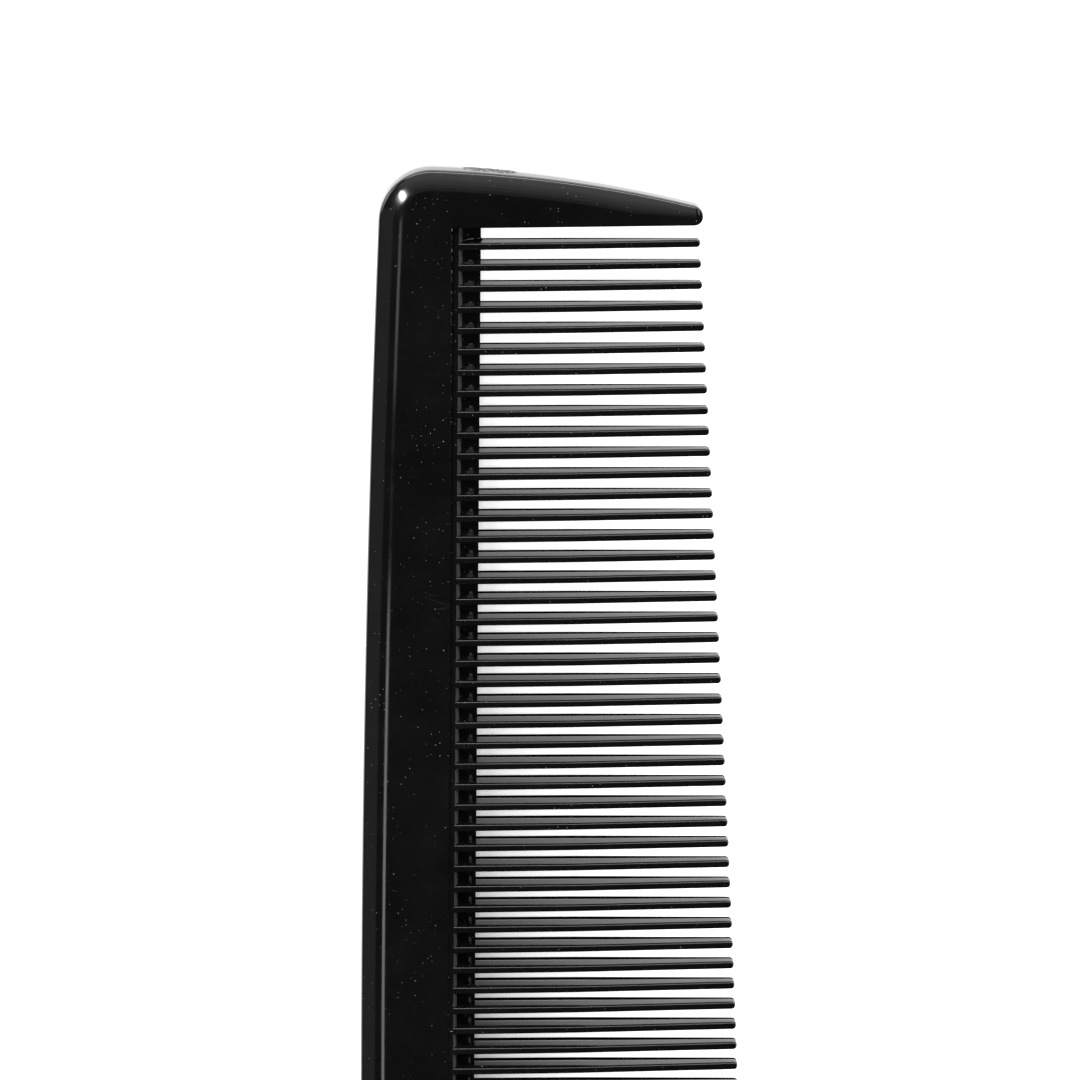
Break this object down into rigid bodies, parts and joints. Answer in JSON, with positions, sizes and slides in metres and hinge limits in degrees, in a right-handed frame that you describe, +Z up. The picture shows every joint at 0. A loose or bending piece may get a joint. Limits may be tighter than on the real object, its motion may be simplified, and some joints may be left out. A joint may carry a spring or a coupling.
{
  "type": "hair comb",
  "caption": "One-piece moulded dressing comb: bevelled spine, broad guard tooth at each end, wedge web and evenly pitched drafted teeth.",
  "frame": {"origin": "under the middle of the comb's box, on the lower face of the spine that it rests on", "axes": "+Y along the back of the comb, +X from the back to the tooth tips, +Z up through the thickness"},
  "size_m": [0.0362, 0.2028, 0.0037],
  "materials": {
    "black_plastic": "polished black moulded plastic with fine rubbing scratches"
  },
  "bodies": {
    "root": {"guard_tooth_front": "black_plastic", "guard_tooth_rear": "black_plastic", "root_web_lower": "black_plastic", "root_web_upper": "black_plastic", "spine": "black_plastic", "tooth_bank_01": "black_plastic", "tooth_bank_02": "black_plastic", "tooth_bank_03": "black_plastic", "tooth_bank_04": "black_plastic", "tooth_bank_05": "black_plastic", "tooth_bank_06": "black_plastic", "tooth_bank_07": "black_plastic", "tooth_bank_08": "black_plastic", "tooth_bank_09": "black_plastic", "tooth_bank_10": "black_plastic", "tooth_bank_11": "black_plastic", "tooth_bank_12": "black_plastic", "tooth_bank_13": "black_plastic", "tooth_bank_14": "black_plastic", "tooth_bank_15": "black_plastic", "tooth_bank_16": "black_plastic", "tooth_bank_17": "black_plastic", "tooth_bank_18": "black_plastic", "tooth_bank_19": "black_plastic"}
  },
  "joints": []
}
